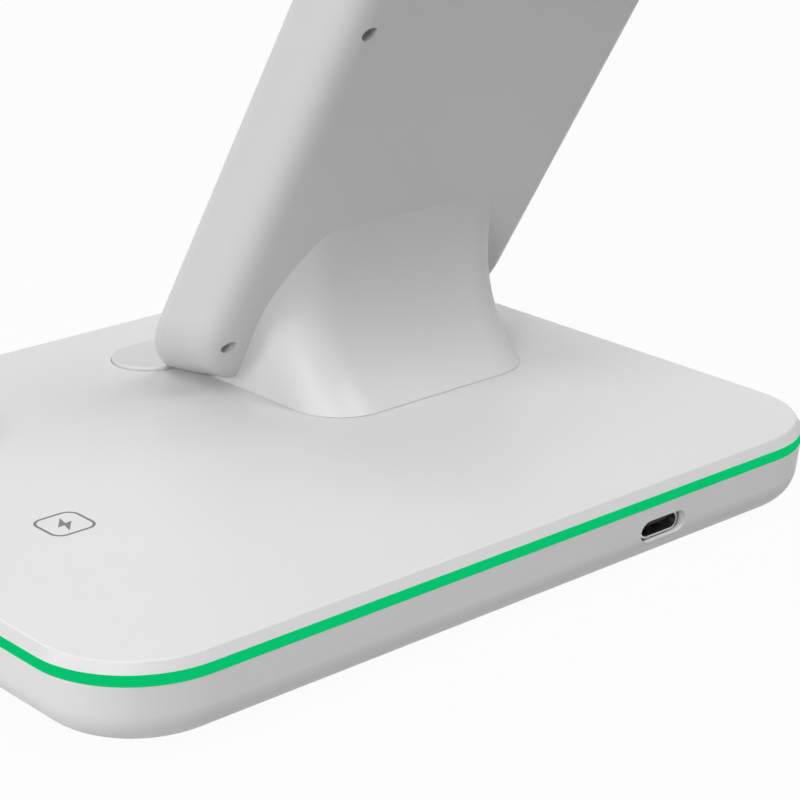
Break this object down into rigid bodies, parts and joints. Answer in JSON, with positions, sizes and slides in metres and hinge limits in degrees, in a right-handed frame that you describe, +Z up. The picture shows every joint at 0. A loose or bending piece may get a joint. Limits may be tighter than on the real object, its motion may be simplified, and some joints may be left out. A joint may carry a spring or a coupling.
{
  "type": "three in one wireless charger",
  "caption": "Flat charging base with a lit band round its edge, a leaning phone panel on a fixed neck, and flat places for earbuds and a watch.",
  "frame": {"origin": "middle of the base on the table, under the feet", "axes": "+X along the base's long side, from the phone stand towards the earbuds place; +Y towards the rear wall with the power socket; +Z up"},
  "size_m": [0.156, 0.126, 0.12],
  "materials": {
    "white_plastic": "fine satin moulding",
    "light_guide": "milky light guide, lit green",
    "pad_rubber": "soft silicone",
    "foot_rubber": "matte",
    "steel": "plated",
    "black_plastic": "moulded",
    "circuit_board": "solder mask",
    "strip_film": "white film",
    "lamp_body": "white body with a yellow lens",
    "copper_wire": "enamelled copper winding",
    "ferrite": "sintered",
    "nickel": "nickel plated",
    "can_aluminium": "drawn can",
    "grey_plastic": "moulded",
    "lead_sheath": "soft sheath",
    "plug_plastic": "moulded"
  },
  "bodies": {
    "root": {"base_bottom_shell": "white_plastic", "base_top_cover": "white_plastic", "light_ring": "light_guide", "led_strip": "strip_film", "leds": "lamp_body", "rubber_feet": "foot_rubber", "base_screws": "steel", "usb_c_shell": "steel", "usb_c_tongue": "black_plastic", "main_circuit_board": "circuit_board", "board_screws": "steel", "controller_chips": "black_plastic", "power_inductors": "ferrite", "filter_capacitors": "can_aluminium", "phone_rest_pad": "pad_rubber", "earbuds_coil": "copper_wire", "earbuds_ferrite": "ferrite", "watch_puck": "white_plastic", "watch_coil": "copper_wire", "watch_ferrite": "ferrite", "watch_magnet": "nickel", "puck_screws": "steel", "stand_shell": "white_plastic", "neck_foot_screws": "steel", "panel_front_cover": "white_plastic", "panel_screws": "steel", "phone_coil": "copper_wire", "phone_ferrite": "ferrite", "phone_coil_carrier": "grey_plastic", "phone_coil_lead": "lead_sheath", "lead_connectors": "plug_plastic"}
  },
  "joints": []
}
